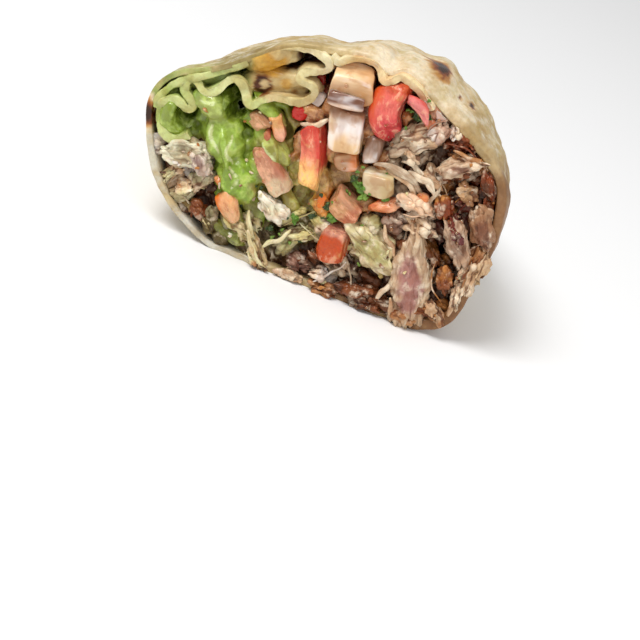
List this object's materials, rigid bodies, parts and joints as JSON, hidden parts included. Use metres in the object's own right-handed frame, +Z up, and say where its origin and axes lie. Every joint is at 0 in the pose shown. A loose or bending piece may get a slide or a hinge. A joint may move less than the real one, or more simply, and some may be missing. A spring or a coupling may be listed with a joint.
{
  "type": "pulled pork burrito half",
  "caption": "Half a pulled pork burrito lying on its base, cut straight across to show pork, guacamole, tomato and onion inside a rolled flour tortilla.",
  "frame": {"origin": "middle of the bounding box's underside, on the surface that the burrito half rests on", "axes": "+Z up, -Y out of the cut face, +Y towards the folded end, +X to the right seen from the cut side"},
  "size_m": [0.0942, 0.0928, 0.0639],
  "materials": {
    "tortilla": "soft floury wheat tortilla, griddled",
    "guacamole": "moist mashed avocado",
    "pork": "moist shredded roast meat",
    "salsa": "wet tomato juice and pulp",
    "tomato": "wet diced tomato",
    "onion": "wet diced onion",
    "cilantro": "fresh chopped leaf"
  },
  "bodies": {
    "root": {"tortilla": "tortilla", "guacamole": "guacamole", "pulled_pork": "pork", "salsa": "salsa", "tomato_01": "tomato", "tomato_02": "tomato", "tomato_03": "tomato", "tomato_04": "tomato", "tomato_05": "tomato", "tomato_06": "tomato", "tomato_07": "tomato", "tomato_08": "tomato", "tomato_09": "tomato", "tomato_10": "tomato", "tomato_11": "tomato", "onion_01": "onion", "onion_02": "onion", "onion_03": "onion", "onion_04": "onion", "onion_05": "onion", "onion_06": "onion", "cilantro_01": "cilantro", "cilantro_02": "cilantro", "cilantro_03": "cilantro"}
  },
  "joints": []
}
